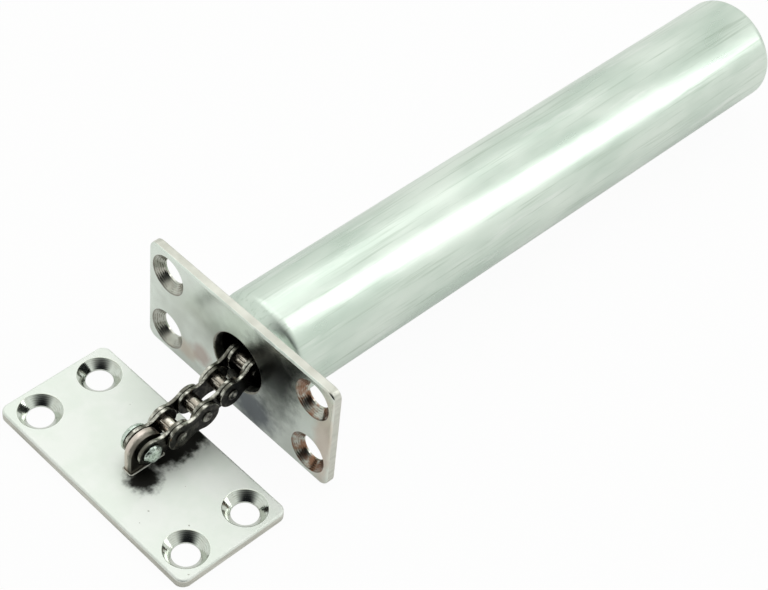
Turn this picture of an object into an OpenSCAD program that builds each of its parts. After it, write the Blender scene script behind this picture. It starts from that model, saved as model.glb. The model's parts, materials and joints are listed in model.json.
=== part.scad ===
// Concealed chain door closer. A spring tube sits in the door's edge behind a face plate,
// and a bush chain joins its plunger to an anchor plate on the frame.
// Millimetres. X runs along both plates, +Y along the tube into the door, Z up.
// The origin is the centre of the face plate's seating side.

/* [Face plate] */
// Length of the face plate
face_len = 51; // [49:0.5:60]
// Height of the face plate
face_h = 26; // [25.5:0.5:32]
// Thickness of the face plate
face_t = 2; // [1.8:0.1:3]
// Corner radius of the face plate
face_corner_r = 2; // [1:0.5:3]
// Distance between its fixing holes along the plate
face_hole_dx = 40; // [37:0.5:42]
// Distance between its fixing holes across the plate
face_hole_dz = 15; // [13:0.5:16]
// Diameter of the hole that the chain comes through
mouth_d = 12.8; // [12.5:0.1:13]
// Bevel round the mouth of that hole
mouth_bevel = 0.4; // [0.2:0.1:0.6]

/* [Anchor plate] */
// Length of the anchor plate
anchor_len = 53; // [52:0.5:60]
// Width of the anchor plate
anchor_w = 25.5; // [24:0.5:27]
// Thickness of the anchor plate
anchor_t = 2; // [1.8:0.1:2.5]
// Corner radius of the anchor plate
anchor_corner_r = 2; // [1:0.5:3]
// Distance between its fixing holes along the plate
anchor_hole_dx = 42; // [36:0.5:44]
// Distance between its fixing holes across the plate
anchor_hole_dy = 14.2; // [12:0.2:15]
// Thickness of the lug strip
lug_t = 2; // [1.6:0.1:2.4]
// Width of the lug strip
lug_w = 7.6; // [6.4:0.2:8]
// Height of the lug above the plate
lug_h = 8; // [7.8:0.1:8.6]
// Height of the rivet above the plate
rivet_h = 4.5; // [4.3:0.1:4.7]
// How far the lug stands to the right of the plate's centre
lug_offset = 0.7; // [0:0.1:1.5]
// Clearance round the lug in its slot
lug_slot_gap = 0.12; // [0.05:0.01:0.2]

/* [Both plates] */
// Diameter of the fixing holes
screw_d = 5.4; // [5:0.1:5.8]
// Diameter of the countersinks, which are cut at 90 degrees
sink_d = 8.7; // [7.5:0.1:9]
// Rounding of the edges on the plates' visible sides
front_edge_r = 0.5; // [0.2:0.1:0.7]
// Rounding of the edges on the plates' seating sides
back_edge_r = 0.2; // [0.1:0.05:0.3]

/* [Tube] */
// Outer diameter of the tube
tube_d = 23; // [22.6:0.2:24]
// Wall of the tube
tube_wall = 1.1; // [0.9:0.1:1.3]
// Length from the face plate's front face to the rear end
overall_len = 145; // [142:1:170]
// Radius of the closed rear end's edge
tube_end_r = 2; // [1.5:0.1:2.5]
// Diameter of the neck against the face plate
neck_d = 19.2; // [18.8:0.1:19.6]
// Length of the neck
neck_len = 1.2; // [0.8:0.1:1.6]
// Slope of the shoulder that widens the neck to the tube
shoulder_tilt = 30; // [26:1:34]
// Radius where the shoulder runs into the tube
shoulder_r = 3; // [2:0.5:4]

/* [Chain] */
// Distance from pin to pin
pitch = 6.35; // [6.2:0.05:6.5]
// Height of the link plates at the pins
link_h = 5.9; // [5.6:0.1:6.1]
// Height of the link plates at the waist
link_waist = 4.3; // [3.9:0.1:4.7]
// Thickness of a link plate
link_t = 0.75; // [0.6:0.05:0.8]
// Width between the inner plates
inner_w = 3.18; // [3:0.02:3.4]
// Side clearance between an inner and an outer plate
link_gap = 0.1; // [0.08:0.01:0.14]
// Outer diameter of a bush
bush_d = 3.3; // [3.1:0.05:3.6]
// Diameter of a pin
pin_d = 2.31; // [2.1:0.01:2.4]
// Radial running clearance of a pin
pin_gap = 0.03; // [0.02:0.01:0.05]
// How far a riveted pin end stands out of its plate
pin_proud = 0.35; // [0.2:0.05:0.45]
// Width of the seam in a rolled bush
seam_w = 0.16; // [0.1:0.02:0.25]
// Depth of the seam in a rolled bush
seam_depth = 0.14; // [0.08:0.02:0.2]

/* [Anchor rivet] */
// Diameter of the rivet's shank
rivet_d = 3; // [2.8:0.05:3.2]
// Diameter of the head that is hammered over on the right
rivet_head_d = 4.2; // [3.8:0.1:4.6]
// Height of that head
rivet_head_h = 1.1; // [0.9:0.1:1.5]
// Diameter of the wide head on the left
set_head_d = 6; // [5.4:0.1:6]
// Height of that head
set_head_h = 1.6; // [1.2:0.1:1.8]
// Side clearance between a head and the link
rivet_head_gap = 0.1; // [0.05:0.01:0.2]

/* [Chain at rest] */
// Distance from the face plate's front face to the rivet
anchor_reach = 22.5; // [21.5:0.1:23.5]
// Bend from one link to the next where the chain sags in front of the tube
sag_bend = 5; // [4:0.5:6]
// How far below the tube's axis the sagging part ends, just inside the mouth
mouth_drop = 1.25; // [1:0.05:1.5]

/* [Drawbar] */
// Closing travel of the plunger
stroke = 24.6; // [23:0.1:26]
// Diameter of the draw rod
rod_d = 6; // [5:0.1:6.4]
// Thickness of the rod's flattened eye
eye_t = 2.9; // [2.6:0.05:2.95]
// Thickness of the plunger's flange
plunger_t = 5; // [4:0.5:7]
// Length of the plunger's boss inside the spring
boss_len = 6; // [4:0.5:10]
// Clearance between the boss and the spring
boss_gap = 1.2; // [1:0.1:1.6]
// Running clearance between the plunger and the tube
plunger_gap = 0.3; // [0.15:0.05:0.4]
// Radial clearance of the holes that the rod passes through
rod_gap = 0.1; // [0.05:0.01:0.2]
// Diameter of the washer under the nut
rod_washer_d = 12; // [11:0.5:14]
// Thickness of that washer
rod_washer_t = 1.2; // [0.8:0.1:2]
// Width across the flats of the nuts
nut_af = 10; // [9:0.5:11]
// Height of the nut
nut_h = 5; // [4:0.5:6]
// Height of the lock nut
lock_nut_h = 3; // [2:0.5:4]
// Length of rod beyond the lock nut
rod_tail = 1.6; // [1:0.1:3]
// Room behind the rod when the closer is shut
rear_room = 0.7; // [0.4:0.1:2]

/* [Spring and its seat] */
// Diameter of the spring's wire
wire_d = 2.2; // [1.8:0.1:2.4]
// Number of turns
spring_turns = 20; // [16:1:22]
// Clearance between the spring and the tube
spring_gap = 0.6; // [0.4:0.1:0.8]
// Advance of each closed end turn
end_pitch = 2.7; // [2.65:0.05:3]
// Clearance between the spring and each of its seats
seat_gap = 0.2; // [0.1:0.05:0.3]
// Length of the front bush behind the shoulder
front_bush_len = 5.5; // [4.5:0.5:8]
// Diameter of the front bush's bore
front_bush_bore = 13; // [13:0.1:13.6]
// Thickness of the thrust washer
thrust_t = 1.2; // [0.8:0.1:2]
// Hole in the thrust washer
thrust_bore = 13.6; // [13.6:0.1:14.4]

/* [Hidden] */
$fn = 64;
// by how much joined shapes run into each other, and cuts run past what they cut
overlap = 0.01;
through = 1;

// joints of the chain: 0 is the rivet, last_joint is the draw rod's eye
last_joint = 9;
front_links = 4;
inner_links = [for (k = [1 : 2 : last_joint]) k];
outer_links = [for (k = [2 : 2 : last_joint - 1]) k];
bush_joints = [for (k = [1 : last_joint - 1]) k];

mouth_r = mouth_d / 2;
tube_r = tube_d / 2;
bore_r = tube_r - tube_wall;
neck_r = neck_d / 2;
neck_bore_r = neck_r - tube_wall;
rear_y = overall_len - face_t;

// the shoulder is a cone that ends where it touches the rounding
shoulder_edge_r = tube_r - shoulder_r * (1 - cos(shoulder_tilt));
shoulder_edge_y = neck_len + (shoulder_edge_r - neck_r) / tan(shoulder_tilt);
shoulder_y = shoulder_edge_y + shoulder_r * sin(shoulder_tilt);
bore_front_y = shoulder_y;
bore_rear_y = rear_y - tube_wall;

// the anchor plate and the face plate stand on one level
floor_z = -face_h / 2;
anchor_top_z = floor_z + anchor_t;
rivet_z = anchor_top_z + rivet_h;
rivet_y = -face_t - anchor_reach;

// in front, each link is steeper than the one before by the bend; inside, the slope is even
front_rise = -mouth_drop - rivet_z;
mean_slope = asin(front_rise / pitch * sin(sag_bend / 2) / sin(front_links * sag_bend / 2));
back_slope = asin(mouth_drop / (last_joint - front_links) / pitch);
function slope(k) =
  k <= front_links ? mean_slope + (k - (front_links + 1) / 2) * sag_bend : back_slope;
function joint_y(k) = k == 0 ? rivet_y : joint_y(k - 1) + pitch * cos(slope(k));
function joint_z(k) = k == 0 ? rivet_z : joint_z(k - 1) + pitch * sin(slope(k));

// link plates: the waist's arcs run smoothly into the round ends
link_r = link_h / 2;
waist_r = (pow(pitch / 2, 2) + pow(link_waist / 2, 2) - pow(link_r, 2)) / (link_h - link_waist);
waist_off = waist_r + link_waist / 2;
web_x = pitch / 2 * waist_r / (link_r + waist_r);
web_z = waist_off * link_r / (link_r + waist_r);
inner_x = inner_w / 2;
outer_x = inner_x + link_t + link_gap;
bush_len = inner_w + 2 * link_t;
pin_len = 2 * (outer_x + link_t + pin_proud);

// drawbar, from the eye back to the tail
eye_y = joint_y(last_joint);
// the eye is a little lower than the link, clears its end and runs into the rod
eye_inset = 0.2;
eye_clear = 1.2;
eye_join = 1;
eye_r = link_r - eye_inset;
rod_front_y = eye_y + link_r + eye_clear;
rod_end_y = bore_rear_y - rear_room - stroke;
lock_nut_y = rod_end_y - rod_tail - lock_nut_h;
nut_y = lock_nut_y - nut_h;
rod_washer_y = nut_y - rod_washer_t;
plunger_y = rod_washer_y - plunger_t;
rod_bore_r = rod_d / 2 + rod_gap;

// spring, between the thrust washer and the plunger
front_bush_end_y = bore_front_y + front_bush_len;
spring_front_y = front_bush_end_y + thrust_t;
wire_r = wire_d / 2;
coil_r = bore_r - spring_gap - wire_r;
boss_r = coil_r - wire_r - boss_gap;
coil_start_y = spring_front_y + seat_gap + wire_r;
coil_end_y = plunger_y - seat_gap - wire_r;
open_pitch = (coil_end_y - coil_start_y - 2 * end_pitch) / (spring_turns - 2);
rings_per_turn = 8;
wire_sides = 6;
coil_rings = spring_turns * rings_per_turn;

nickel = "#dfe3dc";
zinc = "#c9d6cc";
oiled_steel = "#4a4a46";
bright_steel = "#c4c4bd";

// turns a shape that stands on the XY plane to run along +Y from y
module along_y(y) {
  translate([0, y, 0]) rotate([-90, 0, 0]) children();
}

// turns a shape that stands on the XY plane to run along X, centred on x = 0
module along_x() {
  rotate([0, 90, 0]) children();
}

// extrudes an outline drawn in (y, z) from x to x + width
module in_yz(x, width) {
  translate([x, 0, 0]) rotate([90, 0, 90]) linear_extrude(width) children();
}

// places a shape drawn about the origin at chain joint k
module at_joint(k) {
  translate([0, joint_y(k), joint_z(k)]) children();
}

// places link k, drawn with its joints at the origin and at y = -pitch
module at_link(k) {
  at_joint(k) rotate([slope(k), 0, 0]) children();
}

// half of a plate's section: its seating side on y = 0, rounded at both edges
module edge_section(half, t) {
  translate([0, back_edge_r]) square([half, t - back_edge_r - front_edge_r]);
  translate([0, back_edge_r]) square([half - front_edge_r, t - back_edge_r]);
  square([half - back_edge_r, t - front_edge_r]);
  translate([half - front_edge_r, t - front_edge_r]) circle(front_edge_r);
  translate([half - back_edge_r, back_edge_r]) circle(back_edge_r);
}

// one straight run of a plate, its whole section extruded along X
module plate_run(len, width, t) {
  in_yz(-len / 2, len) {
    edge_section(width / 2, t);
    mirror([1, 0]) edge_section(width / 2, t);
  }
}

// plate on the XY plane with its seating side down, round corners and rounded edges
module plate_blank(len, width, t, corner_r) {
  plate_run(len - 2 * corner_r, width, t);
  rotate([0, 0, 90]) plate_run(width - 2 * corner_r, len, t);
  for (x = [-1, 1], y = [-1, 1])
    translate([x * (len / 2 - corner_r), y * (width / 2 - corner_r), 0])
      rotate_extrude() intersection() {
        edge_section(corner_r, t);
        square([corner_r, t]);
      }
}

// four countersunk holes through a plate that lies with its seating side on z = 0
module fixing_holes(dx, dy, t) {
  sink_depth = (sink_d - screw_d) / 2;
  for (x = [-1, 1], y = [-1, 1])
    translate([x * dx / 2, y * dy / 2, 0]) {
      translate([0, 0, -through]) cylinder(d = screw_d, h = t + 2 * through);
      translate([0, 0, t - sink_depth])
        cylinder(d1 = screw_d, d2 = sink_d + 2 * overlap, h = sink_depth + overlap);
    }
}

// face plate, its front towards -Y
module face_plate() {
  color(nickel)
    rotate([90, 0, 0])
      difference() {
        plate_blank(face_len, face_h, face_t, face_corner_r);
        fixing_holes(face_hole_dx, face_hole_dz, face_t);
        translate([0, 0, -through]) cylinder(r = mouth_r, h = face_t + 2 * through);
        translate([0, 0, face_t - mouth_bevel])
          cylinder(r1 = mouth_r, r2 = mouth_r + mouth_bevel + overlap, h = mouth_bevel + overlap);
      }
}

// drawn tube: narrower neck and sloping shoulder in front, closed end with a rounded edge
module tube() {
  color(zinc)
    rotate([-90, 0, 0]) rotate_extrude()
      difference() {
        union() {
          square([neck_r, neck_len + overlap]);
          polygon([[0, neck_len], [neck_r, neck_len],
                   [shoulder_edge_r, shoulder_edge_y], [0, shoulder_edge_y]]);
          translate([0, shoulder_edge_y])
            square([tube_r - shoulder_r, shoulder_y - shoulder_edge_y]);
          translate([tube_r - shoulder_r, shoulder_y]) intersection() {
            circle(shoulder_r);
            translate([-shoulder_r, -shoulder_r]) square([2 * shoulder_r, shoulder_r + overlap]);
          }
          translate([0, shoulder_y]) square([tube_r, rear_y - tube_end_r - shoulder_y]);
          translate([0, rear_y - tube_end_r]) square([tube_r - tube_end_r, tube_end_r]);
          translate([tube_r - tube_end_r, rear_y - tube_end_r]) intersection() {
            circle(tube_end_r);
            translate([0, -overlap]) square([tube_end_r, tube_end_r + overlap]);
          }
        }
        translate([-through, -through])
          square([neck_bore_r + through, bore_front_y + 2 * through]);
        translate([-through, bore_front_y])
          square([bore_r + through, bore_rear_y - bore_front_y]);
      }
}

// turned bush that closes the tube's front and guides the chain
module front_bush() {
  color("dimgray")
    difference() {
      union() {
        along_y(0) cylinder(r = neck_bore_r, h = bore_front_y + overlap);
        along_y(bore_front_y) cylinder(r = bore_r, h = front_bush_len);
      }
      along_y(-through) cylinder(d = front_bush_bore, h = front_bush_end_y + 2 * through);
    }
}

// washer that the spring pushes against
module thrust_washer() {
  color(bright_steel)
    along_y(front_bush_end_y) difference() {
      cylinder(r = bore_r - plunger_gap, h = thrust_t);
      translate([0, 0, -through]) cylinder(d = thrust_bore, h = thrust_t + 2 * through);
    }
}

// distance along Y of the wire's centre after a number of turns
function coil_y(turn) =
  turn <= 1 ? coil_start_y + turn * end_pitch :
  turn >= spring_turns - 1 ? coil_end_y - (spring_turns - turn) * end_pitch :
  coil_start_y + end_pitch + (turn - 1) * open_pitch;

// one corner of the wire's section, which stands in the plane through the tube's axis
function wire_corner(ring, side) =
  let (around = 360 * ring / rings_per_turn, about = 360 * side / wire_sides,
       r = coil_r + wire_r * cos(about))
  [r * cos(around), coil_y(ring / rings_per_turn) + wire_r * sin(about), r * sin(around)];

// compression spring, one unbroken wire with closed end turns
module spring() {
  last_ring = coil_rings * wire_sides;
  color("gray")
    polyhedron(
      points = [for (i = [0 : coil_rings], s = [0 : wire_sides - 1]) wire_corner(i, s)],
      faces = concat(
        [for (s = [1 : wire_sides - 2]) [0, s, s + 1]],
        [for (i = [0 : coil_rings - 1], s = [0 : wire_sides - 1])
          let (a = i * wire_sides + s, b = i * wire_sides + (s + 1) % wire_sides)
          [a, a + wire_sides, b]],
        [for (i = [0 : coil_rings - 1], s = [0 : wire_sides - 1])
          let (a = i * wire_sides + s, b = i * wire_sides + (s + 1) % wire_sides)
          [b, a + wire_sides, b + wire_sides]],
        [for (s = [1 : wire_sides - 2]) [last_ring, last_ring + s + 1, last_ring + s]]));
}

// least gap between one turn of the wire and the next
function turn_gap(i) =
  norm([for (c = [0 : 2]) coil_centre(i + rings_per_turn)[c] - coil_centre(i)[c]]) - wire_d;
function coil_centre(i) =
  [coil_r * cos(360 * i / rings_per_turn), coil_y(i / rings_per_turn),
   coil_r * sin(360 * i / rings_per_turn)];
spring_gaps = [for (i = [0 : coil_rings - rings_per_turn]) turn_gap(i)];
echo(least_gap_between_turns = min(spring_gaps));

// cup that the spring pushes back, with a boss that centres it
module plunger() {
  color(bright_steel)
    difference() {
      union() {
        along_y(plunger_y) cylinder(r = bore_r - plunger_gap, h = plunger_t);
        along_y(plunger_y - boss_len) cylinder(r = boss_r, h = boss_len + overlap);
      }
      along_y(plunger_y - boss_len - through)
        cylinder(r = rod_bore_r, h = plunger_t + boss_len + 2 * through);
    }
}

// rod with a flattened eye that carries the chain's last link
module draw_rod() {
  color(bright_steel) {
    along_y(rod_front_y) cylinder(d = rod_d, h = rod_end_y - rod_front_y);
    in_yz(-eye_t / 2, eye_t) difference() {
      union() {
        translate([eye_y, 0]) circle(eye_r);
        translate([eye_y, -eye_r]) square([rod_front_y + eye_join - eye_y, 2 * eye_r]);
      }
      translate([eye_y, 0]) circle(bush_d / 2 + pin_gap);
    }
  }
}

module rod_washer() {
  color(bright_steel)
    along_y(rod_washer_y) difference() {
      cylinder(d = rod_washer_d, h = rod_washer_t);
      translate([0, 0, -through]) cylinder(r = rod_bore_r, h = rod_washer_t + 2 * through);
    }
}

// hexagon nut on the rod's thread
module hex_nut(y, h) {
  color(bright_steel)
    along_y(y) difference() {
      cylinder(r = nut_af / 2 / cos(30), h = h, $fn = 6);
      translate([0, 0, -through]) cylinder(d = rod_d, h = h + 2 * through);
    }
}
module draw_nut() {
  hex_nut(nut_y, nut_h);
}
module lock_nut() {
  hex_nut(lock_nut_y, lock_nut_h);
}

// pin through the rod's eye, fast in the last link's plates
module draw_pin() {
  color(oiled_steel)
    at_joint(last_joint) along_x() cylinder(d = bush_d, h = bush_len + 2 * pin_proud, center = true);
}

// waisted outline of a link plate, with one hole at the origin and one at -pitch
module link_outline(hole_d, far_hole_d) {
  difference() {
    union() {
      circle(link_r);
      translate([-pitch, 0]) circle(link_r);
      translate([-pitch / 2, 0]) square([2 * web_x, 2 * web_z], center = true);
    }
    for (side = [-1, 1])
      translate([-pitch / 2, side * waist_off]) circle(waist_r);
    circle(d = hole_d);
    translate([-pitch, 0]) circle(d = far_hole_d);
  }
}

// side is -1 for the left plate of link k and 1 for the right one; the first link turns on the rivet
module inner_plate(k, side) {
  color(oiled_steel)
    at_link(k) in_yz(side < 0 ? -inner_x - link_t : inner_x, link_t)
      link_outline(bush_d, k == 1 ? rivet_d + 2 * pin_gap : bush_d);
}
module outer_plate(k, side) {
  color(oiled_steel)
    at_link(k) in_yz(side < 0 ? -outer_x - link_t : outer_x, link_t) link_outline(pin_d, pin_d);
}

// rolled bush, pressed into the inner plates, its seam towards the anchor and up
module bush(j) {
  seam_turn = 35;
  color(bright_steel)
    at_joint(j) difference() {
      along_x() cylinder(d = bush_d, h = bush_len, center = true);
      along_x()
        cylinder(d = pin_d + 2 * pin_gap, h = bush_len + 2 * through, center = true);
      rotate([seam_turn, 0, 0])
        translate([-inner_x, -seam_w / 2, bush_d / 2 - seam_depth])
          cube([inner_w, seam_w, through]);
    }
}

// pin with a small bevel at its riveted ends, fast in the outer plates
module pin(j) {
  bevel = pin_proud / 2;
  color(bright_steel)
    at_joint(j) along_x() {
      cylinder(d = pin_d, h = pin_len - 2 * bevel, center = true);
      for (end = [0, 1])
        mirror([0, 0, end]) translate([0, 0, pin_len / 2 - bevel])
          cylinder(d1 = pin_d, d2 = pin_d - 2 * bevel, h = bevel);
    }
}

// anchor plate on the shared level, slotted for the lug's foot
module anchor_plate() {
  color(nickel)
    translate([-lug_offset, rivet_y, floor_z]) difference() {
      plate_blank(anchor_len, anchor_w, anchor_t, anchor_corner_r);
      fixing_holes(anchor_hole_dx, anchor_hole_dy, anchor_t);
      translate([lug_offset - lug_t / 2 - lug_slot_gap, -lug_w / 2 - lug_slot_gap, -through])
        cube([lug_t + 2 * lug_slot_gap, lug_w + 2 * lug_slot_gap, anchor_t + 2 * through]);
    }
}

// strip with a round top, its foot staked flush in the anchor plate
module anchor_lug() {
  color("#b5aaa0")
    in_yz(-lug_t / 2, lug_t) difference() {
      union() {
        translate([rivet_y - lug_w / 2, floor_z])
          square([lug_w, anchor_t + lug_h - lug_w / 2]);
        translate([rivet_y, anchor_top_z + lug_h - lug_w / 2]) circle(lug_w / 2);
      }
      translate([rivet_y, rivet_z]) circle(d = rivet_d);
    }
}

// rivet head on the XY plane, its upper half rounded
module rivet_head(d, h) {
  dome_r = h / 2;
  rotate_extrude() {
    square([d / 2, h - dome_r]);
    square([d / 2 - dome_r, h]);
    intersection() {
      translate([d / 2 - dome_r, h - dome_r]) circle(dome_r);
      square([d, h]);
    }
  }
}

// rivet through the lug and the first link, hammered over on the right
module anchor_rivet() {
  head_x = inner_x + link_t + rivet_head_gap;
  color(zinc)
    at_joint(0) along_x() {
      cylinder(d = rivet_d, h = 2 * head_x + 2 * overlap, center = true);
      translate([0, 0, head_x]) rivet_head(rivet_head_d, rivet_head_h);
      mirror([0, 0, 1]) translate([0, 0, head_x]) rivet_head(set_head_d, set_head_h);
    }
}

face_plate();
tube();
front_bush();
thrust_washer();
spring();
plunger();
draw_rod();
rod_washer();
draw_nut();
lock_nut();
draw_pin();
for (k = inner_links) {
  inner_plate(k, -1);
  inner_plate(k, 1);
}
for (k = outer_links) {
  outer_plate(k, -1);
  outer_plate(k, 1);
}
for (j = bush_joints) {
  bush(j);
  pin(j);
}
anchor_plate();
anchor_lug();
anchor_rivet();
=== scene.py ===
# %% [markdown]
# Concealed chain door closer.
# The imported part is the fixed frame. This notebook dresses it: every visible piece is remodelled
# finer than the solids, with rolled edges, turned countersinks and riveted pins, and each metal
# gets the finish that it has on the real object.

import json
import math

import bmesh
import bpy
from mathutils import Matrix, Vector


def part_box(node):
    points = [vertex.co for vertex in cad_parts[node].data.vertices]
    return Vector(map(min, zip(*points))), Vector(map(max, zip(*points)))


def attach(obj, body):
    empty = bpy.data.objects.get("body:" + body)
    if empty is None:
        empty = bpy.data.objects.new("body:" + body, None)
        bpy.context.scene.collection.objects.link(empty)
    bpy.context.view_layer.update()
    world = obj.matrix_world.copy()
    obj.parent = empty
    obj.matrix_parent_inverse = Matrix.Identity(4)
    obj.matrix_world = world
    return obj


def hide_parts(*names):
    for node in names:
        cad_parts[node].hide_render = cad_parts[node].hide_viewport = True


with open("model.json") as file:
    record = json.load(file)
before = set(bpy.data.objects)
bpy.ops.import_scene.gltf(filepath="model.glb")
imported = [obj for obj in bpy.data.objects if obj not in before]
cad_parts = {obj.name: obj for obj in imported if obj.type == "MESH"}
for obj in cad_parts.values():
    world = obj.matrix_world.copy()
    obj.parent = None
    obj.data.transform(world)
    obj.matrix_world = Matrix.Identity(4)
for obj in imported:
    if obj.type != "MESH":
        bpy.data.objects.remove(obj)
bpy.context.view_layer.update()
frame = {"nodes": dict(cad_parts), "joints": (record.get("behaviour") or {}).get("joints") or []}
nodes = frame["nodes"]
MM = 0.001

# %% [markdown]
# ## Sizes
# All sizes are read from the frame, so the dressed pieces keep to the solids. A few that a box
# can't give, such as hole sizes and edge radii, are stated here in millimetres.

# %% Read the sizes
def span(node, axis):
    """Lowest and highest place of a node along an axis, in millimetres."""
    low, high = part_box(node)
    return low[axis] / MM, high[axis] / MM


X, Y, Z = 0, 1, 2
FACE_X, FACE_Y, FACE_Z = (span("face_plate", a) for a in (X, Y, Z))
ANCHOR_X, ANCHOR_Y, ANCHOR_Z = (span("anchor_plate", a) for a in (X, Y, Z))
TUBE_X, TUBE_Y = span("tube", X), span("tube", Y)
FACE_T = FACE_Y[1] - FACE_Y[0]
TUBE_R = TUBE_X[1]
FLOOR_Z = ANCHOR_Z[0]
SCREW_R, SINK_R = 2.7, 4.35
MOUTH_R = 6.4
FACE_HOLES = (20.0, 7.5)
ANCHOR_HOLES = (21.0, 7.1)
CORNER_R = 2.0
PITCH, LINK_R, WAIST = 6.35, 2.95, 2.15
PIN_R, BUSH_R = 1.155, 1.65
print("face plate", FACE_X, FACE_Z, "tube radius", TUBE_R, "floor", FLOOR_Z)

# %% [markdown]
# ## Joints
# The chain lies from joint to joint, and the frame gives each joint's place.

# %% Joints
joints = {j["name"]: j for j in frame["joints"]}
pivots = {0: "anchor_pivot", 9: "rod_pivot"}
JOINT = []
for number in range(10):
    name = pivots.get(number, f"chain_pivot_{number}")
    JOINT.append(Vector(joints[name]["pos_m"]) / MM)
print("chain joints, y and z in mm:", [(round(j.y, 2), round(j.z, 2)) for j in JOINT])

# %% [markdown]
# ## Colours and a node helper
# Colours are written as sRGB hex, as seen on the object, and one function turns them linear.
# One small function adds a node with its settings and links, and gives the output that is used.
# Some node inputs share a name, so they go by number, and the numbers get names here: a map
# range takes LOW to HIGH and gives FROM to TO, and a mix lays OVER on UNDER. Every pattern reads
# the place of a point in millimetres, so a scale of 2 draws marks about half a millimetre wide.

# %% Names for nodes and sockets
NOISE, RANGE, MIX = "ShaderNodeTexNoise", "ShaderNodeMapRange", "ShaderNodeMix"
MATHS, VECTOR = "ShaderNodeMath", "ShaderNodeVectorMath"
SMOOTH, COLOUR = {"interpolation_type": "SMOOTHSTEP"}, {"data_type": "RGBA"}
SCALED = {"operation": "MULTIPLY"}
LOW, HIGH, FROM, TO = 1, 2, 3, 4  # inputs of a map range
UNDER, OVER = 6, 7  # colour inputs of a mix
TONE = 2  # colour output of a mix
print("a map range takes inputs", LOW, "to", HIGH, "and gives", FROM, "to", TO)


# %% Colour
def linear(code, alpha=1.0):
    """Linear colour of an sRGB hex value."""
    channels = [int(code[i : i + 2], 16) / 255 for i in (1, 3, 5)]
    return (*[c / 12.92 if c <= 0.04045 else ((c + 0.055) / 1.055) ** 2.4 for c in channels], alpha)


print("linear value of a mid grey:", round(linear("#808080")[0], 3))


# %% Adding a node
def add(tree, kind, inputs=None, out=0, **settings):
    """Adds a node, sets what it is told, links the inputs that are sockets and gives an output."""
    node = tree.nodes.new(kind)
    for key, value in settings.items():
        setattr(node, key, value)
    for key, value in (inputs or {}).items():
        if isinstance(value, bpy.types.NodeSocket):
            tree.links.new(value, node.inputs[key])
        else:
            node.inputs[key].default_value = value
    return node.outputs[out]


print("node helper ready")


# %% Starting and finishing a metal
def metal(name, color, roughness):
    """A new metal with its plain numbers set, and the place of a point in millimetres."""
    material = bpy.data.materials.new(name)
    material.use_nodes = True
    tree = material.node_tree
    shader = tree.nodes["Principled BSDF"]
    shader.inputs["Base Color"].default_value = linear(color)
    shader.inputs["Metallic"].default_value = 1.0
    shader.inputs["Roughness"].default_value = roughness
    place = add(tree, "ShaderNodeTexCoord", out="Object")
    mm = add(tree, VECTOR, {0: place, 1: (1 / MM,) * 3}, **SCALED)
    return material, tree, shader, mm


def finish_metal(tree, shader, tone, shine, *relief):
    """Links colour and roughness, and lays each relief of (height, depth in mm) on the last."""
    tree.links.new(tone, shader.inputs["Base Color"])
    if shine:
        tree.links.new(shine, shader.inputs["Roughness"])
    below = {}
    for height, depth in relief:
        normal = add(tree, "ShaderNodeBump", {"Height": height, "Distance": depth * MM, **below})
        below = {"Normal": normal}
    if below:
        tree.links.new(below["Normal"], shader.inputs["Normal"])


print("metal helpers ready")

# %% [markdown]
# ## Zinc
# The tube is drawn steel with a thin zinc plate. Drawing leaves fine lines along it, and the bath
# leaves a pale, faintly green tone in soft clouds. It could be one flat grey, but the clouds are
# what tell zinc from nickel. The rivet has the same plate, dented by the hammer.

# %% Zinc-plated drawn steel
def zinc_tube():
    """Pale zinc: a soft mirror, with lines from drawing, cloudy patches and dull scuffs."""
    material, tree, shader, mm = metal("zinc_plated_drawn_steel", "#DCE8DD", 0.3)
    along = add(tree, VECTOR, {0: mm, 1: (1, 0.03, 1)}, **SCALED)
    lines = add(tree, NOISE, {"Vector": along, "Scale": 1.4, "Detail": 3.0, "Roughness": 0.6})
    longer = add(tree, VECTOR, {0: mm, 1: (1, 0.35, 1)}, **SCALED)
    clouds = add(tree, NOISE, {"Vector": longer, "Scale": 0.09, "Detail": 3.0, "Roughness": 0.55})
    rubbed = add(tree, VECTOR, {0: mm, 1: (1, 0.08, 1)}, **SCALED)
    scuffs = add(tree, NOISE, {"Vector": rubbed, "Scale": 0.5, "Detail": 4.0, "Roughness": 0.65})
    specks = add(tree, NOISE, {"Vector": mm, "Scale": 2.2, "Roughness": 0.6})
    cloudy = add(tree, RANGE, {0: clouds, LOW: 0.3, HIGH: 0.7}, **SMOOTH)
    tone = add(tree, MIX, {0: cloudy, UNDER: linear("#CBD9CE"), OVER: linear("#E8F0E8")}, TONE, **COLOUR)
    lined = add(tree, RANGE, {0: lines, LOW: 0.5, HIGH: 0.75, TO: 0.6}, **SMOOTH)
    tone = add(tree, MIX, {0: lined, UNDER: tone, OVER: linear("#B4C2B4")}, TONE, **COLOUR)
    scuffed = add(tree, RANGE, {0: scuffs, LOW: 0.55, HIGH: 0.7, TO: 0.45}, **SMOOTH)
    tone = add(tree, MIX, {0: scuffed, UNDER: tone, OVER: linear("#F4F8F4")}, TONE, **COLOUR)
    shine = add(tree, RANGE, {0: clouds, LOW: 0.25, HIGH: 0.75, FROM: 0.25, TO: 0.36}, **SMOOTH)
    finish_metal(tree, shader, tone, shine, (lines, 0.014), (specks, 0.007))
    return material


ZINC = zinc_tube()
print("made", ZINC.name)


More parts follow.
